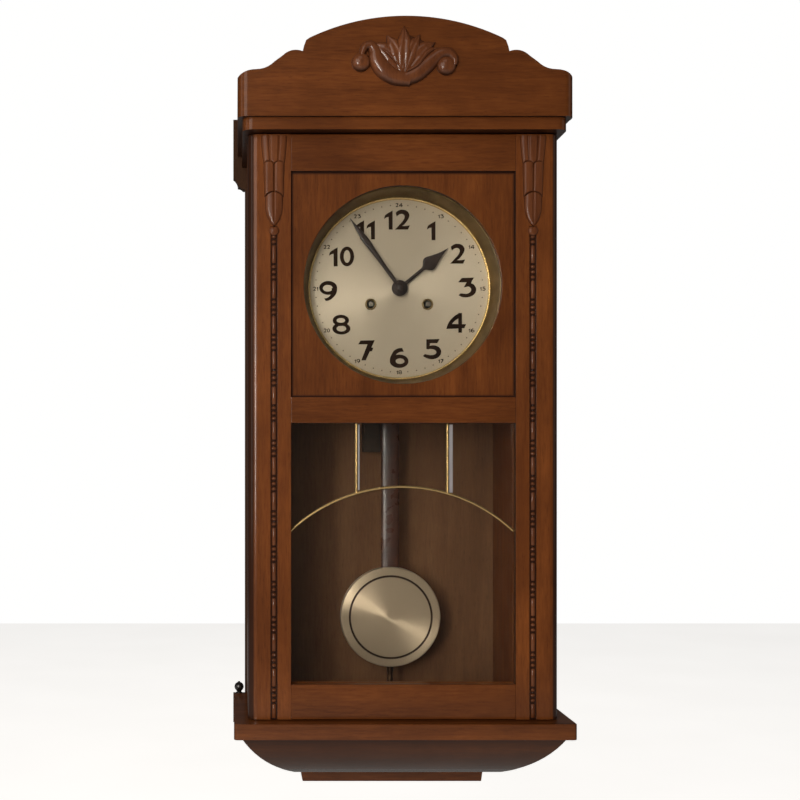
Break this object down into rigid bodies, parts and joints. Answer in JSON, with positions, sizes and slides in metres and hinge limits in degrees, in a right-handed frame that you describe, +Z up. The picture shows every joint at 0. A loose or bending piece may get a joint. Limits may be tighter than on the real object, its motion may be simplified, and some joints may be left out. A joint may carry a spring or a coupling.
{
  "type": "wall regulator clock",
  "caption": "Tall glazed wall clock with carved crest, hinged door, round dial with hands, spring-driven strike movement and a swinging pendulum.",
  "frame": {"origin": "centre of the hanger hole at the wall plane", "axes": "+X right seen from the front, +Y into the wall, +Z up; the dial faces -Y"},
  "size_m": [0.341, 0.193, 0.7825],
  "materials": {
    "walnut": "semi-gloss varnish",
    "carved_walnut": "semi-gloss varnish",
    "black_wood": "gloss",
    "rod_wood": "gloss lacquer",
    "steel": "satin",
    "iron": "black paint",
    "brass": "polished",
    "old_brass": "satin",
    "dial_metal": "satin",
    "dark_metal": "satin",
    "clear_glass": "clear"
  },
  "bodies": {
    "case": {"back_panel": "walnut", "side_left": "walnut", "side_right": "walnut", "top_board": "walnut", "crest_board": "walnut", "cap_boards": "walnut", "crest_carving": "carved_walnut", "shelf_board": "walnut", "base_hull": "walnut", "base_block": "walnut", "ear_finials": "black_wood", "hanger_plate": "steel", "hanger_screws": "steel", "seat_board": "walnut", "gong_block": "iron", "gong_rods": "steel", "hinge_pins": "brass", "dial_plate": "dial_metal", "dial_bezel": "old_brass", "winding_grommets": "brass", "plate_front": "brass", "plate_back": "brass", "plate_pillars": "brass", "suspension_cock": "brass"},
    "door": {"stile_left": "walnut", "stile_right": "walnut", "top_rail": "walnut", "middle_rail": "walnut", "bottom_rail": "walnut", "dial_panel": "walnut", "dial_glass": "clear_glass", "window_panes": "clear_glass", "cames": "brass", "glazing_beads": "walnut", "carved_drops": "carved_walnut", "bead_strips": "carved_walnut", "door_catch": "brass"},
    "centre_arbor": {"centre_wheel": "brass", "cannon_pinion": "brass", "minute_hand": "dark_metal", "hand_nut": "dark_metal"},
    "hour_pipe": {"hour_wheel": "brass", "hour_hand": "dark_metal"},
    "motion_stud": {"minute_wheel": "brass"},
    "second_arbor": {"second_wheel": "brass"},
    "time_drum": {"time_barrel": "brass"},
    "third_arbor": {"third_wheel": "brass"},
    "escape_arbor": {"escape_wheel": "brass"},
    "pendulum": {"suspension_spring": "steel", "pendulum_rod": "rod_wood", "rod_tip": "brass"},
    "anchor_arbor": {"anchor": "steel"},
    "bob": {"pendulum_bob": "brass"},
    "bob_nut": {"rating_nut": "brass"},
    "time_winder": {"time_arbor": "steel"},
    "strike_winder": {"strike_arbor": "steel"},
    "pin_arbor": {"pin_wheel": "brass"},
    "strike_drum": {"strike_barrel": "brass"},
    "fly_arbor": {"fly": "brass"},
    "hammer_arbor": {"hammer": "steel"}
  },
  "joints": [
    {"name": "door_hinge", "type": "hinge", "parent": "case", "child": "door", "pos_m": [-0.15, -0.1505, -0.322], "axis": [0, 0, -1], "range_deg": [0, 95]},
    {"name": "minute_turn", "type": "hinge", "parent": "case", "child": "centre_arbor", "pos_m": [0, -0.12, -0.179], "axis": [0, 1, 0], "continuous": true},
    {"name": "hour_turn", "type": "hinge", "parent": "case", "child": "hour_pipe", "pos_m": [0, -0.13, -0.179], "axis": [0, 1, 0], "continuous": true},
    {"name": "motion_turn", "type": "hinge", "parent": "case", "child": "motion_stud", "pos_m": [0, -0.122, -0.197], "axis": [0, 1, 0], "continuous": true},
    {"name": "second_turn", "type": "hinge", "parent": "case", "child": "second_arbor", "pos_m": [0.02, -0.094, -0.163], "axis": [0, 1, 0], "continuous": true},
    {"name": "time_drum_turn", "type": "hinge", "parent": "case", "child": "time_drum", "pos_m": [0.0292, -0.098, -0.195], "axis": [0, 1, 0], "continuous": true},
    {"name": "third_turn", "type": "hinge", "parent": "case", "child": "third_arbor", "pos_m": [-0.014, -0.094, -0.1595], "axis": [0, 1, 0], "continuous": true},
    {"name": "escape_turn", "type": "hinge", "parent": "case", "child": "escape_arbor", "pos_m": [0, -0.094, -0.1463], "axis": [0, 1, 0], "continuous": true},
    {"name": "pendulum_swing", "type": "hinge", "parent": "case", "child": "pendulum", "pos_m": [0, -0.052, -0.129], "axis": [0, 1, 0], "range_deg": [-4.5, 4.5]},
    {"name": "anchor_rock", "type": "hinge", "parent": "case", "child": "anchor_arbor", "pos_m": [0, -0.094, -0.129], "axis": [0, 1, 0], "range_deg": [-4.5, 4.5]},
    {"name": "bob_rise", "type": "slide", "parent": "pendulum", "child": "bob", "axis": [0, 0, 1], "range_m": [-0.0015, 0.0015]},
    {"name": "nut_turn", "type": "hinge", "parent": "bob", "child": "bob_nut", "pos_m": [0, -0.052, -0.603], "axis": [0, 0, 1], "range_deg": [-1152, 1152]},
    {"name": "time_winding", "type": "hinge", "parent": "case", "child": "time_winder", "pos_m": [0.0292, -0.12, -0.195], "axis": [0, 1, 0], "continuous": true},
    {"name": "strike_winding", "type": "hinge", "parent": "case", "child": "strike_winder", "pos_m": [-0.0292, -0.12, -0.195], "axis": [0, 1, 0], "continuous": true},
    {"name": "strike_run", "type": "hinge", "parent": "case", "child": "pin_arbor", "pos_m": [-0.044, -0.094, -0.16515], "axis": [0, 1, 0], "continuous": true},
    {"name": "strike_drum_turn", "type": "hinge", "parent": "case", "child": "strike_drum", "pos_m": [-0.0292, -0.098, -0.195], "axis": [0, 1, 0], "continuous": true},
    {"name": "fly_turn", "type": "hinge", "parent": "case", "child": "fly_arbor", "pos_m": [-0.038, -0.094, -0.14805], "axis": [0, 1, 0], "continuous": true},
    {"name": "hammer_lift", "type": "hinge", "parent": "case", "child": "hammer_arbor", "pos_m": [-0.0605, -0.07, -0.183], "axis": [0, 1, 0], "range_deg": [0, 12], "stiffness_Nm_per_rad": 0.02, "springref_deg": -34.38}
  ],
  "couplings": [
    {"joint": "hour_turn", "follows": "minute_turn", "ratio": 0.083333},
    {"joint": "motion_turn", "follows": "minute_turn", "ratio": -0.33333},
    {"joint": "second_turn", "follows": "minute_turn", "ratio": -0.16667},
    {"joint": "time_drum_turn", "follows": "minute_turn", "ratio": 0.027778},
    {"joint": "third_turn", "follows": "minute_turn", "ratio": -9},
    {"joint": "escape_turn", "follows": "minute_turn", "ratio": 96.429},
    {"joint": "anchor_rock", "follows": "pendulum_swing", "ratio": 1},
    {"joint": "nut_turn", "follows": "bob_rise", "rad_per_m": 12566},
    {"joint": "strike_drum_turn", "follows": "strike_run", "ratio": -0.16667},
    {"joint": "fly_turn", "follows": "strike_run", "ratio": -7.5}
  ]
}
